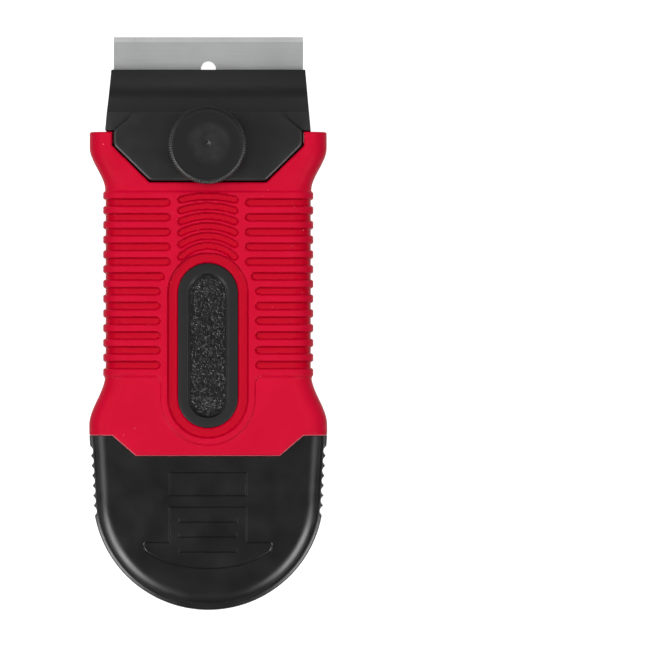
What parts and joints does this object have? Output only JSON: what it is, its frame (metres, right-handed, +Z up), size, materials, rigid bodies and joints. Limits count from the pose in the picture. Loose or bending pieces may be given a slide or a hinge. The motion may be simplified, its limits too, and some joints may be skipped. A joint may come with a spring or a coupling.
{
  "type": "razor blade scraper",
  "caption": "Flat palm scraper with a soft ribbed grip, a knob-clamped jaw that holds a single-edge razor blade and a pull-off tail cap that covers spare blades.",
  "frame": {"origin": "centre of the handle's flat back, half way along the whole length with the blade", "axes": "+X to the right, +Y out past the blade's edge, +Z up through the knob's side"},
  "size_m": [0.0478, 0.1152, 0.0213],
  "materials": {
    "black_plastic": "satin",
    "soft_grip": "matte",
    "blade_steel": "satin",
    "zinc_plated_steel": "satin"
  },
  "bodies": {
    "handle": {"core_back": "black_plastic", "core_front": "black_plastic", "grip_sleeve": "soft_grip", "front_badge": "black_plastic", "back_badge": "black_plastic", "jaw_nut": "zinc_plated_steel", "spare_blade_1": "blade_steel", "spare_blade_2": "blade_steel", "spare_blade_3": "blade_steel", "spare_blade_4": "blade_steel", "spare_blade_5": "blade_steel", "spare_spine_1": "zinc_plated_steel", "spare_spine_2": "zinc_plated_steel", "spare_spine_3": "zinc_plated_steel", "spare_spine_4": "zinc_plated_steel", "spare_spine_5": "zinc_plated_steel"},
    "jaw_assembly": {"upper_jaw": "black_plastic", "knob_washer": "zinc_plated_steel"},
    "knob_assembly": {"knob": "black_plastic", "clamp_screw": "zinc_plated_steel"},
    "blade_assembly": {"blade": "blade_steel", "blade_spine": "zinc_plated_steel"},
    "cap_assembly": {"tail_cap": "black_plastic"}
  },
  "joints": [
    {"name": "jaw_lift", "type": "slide", "parent": "handle", "child": "jaw_assembly", "axis": [0, 0, 1], "range_m": [0, 0.0014]},
    {"name": "knob_turn", "type": "hinge", "parent": "jaw_assembly", "child": "knob_assembly", "pos_m": [0, 0.0356, 0.0153], "axis": [0, 0, 1], "range_deg": [0, 720]},
    {"name": "blade_slide", "type": "slide", "parent": "handle", "child": "blade_assembly", "axis": [0, 1, 0], "range_m": [0, 0.02]},
    {"name": "cap_slide", "type": "slide", "parent": "handle", "child": "cap_assembly", "axis": [0, -1, 0], "range_m": [0, 0.024]}
  ],
  "couplings": [
    {"joint": "knob_turn", "follows": "jaw_lift", "rad_per_m": 8975.9}
  ]
}
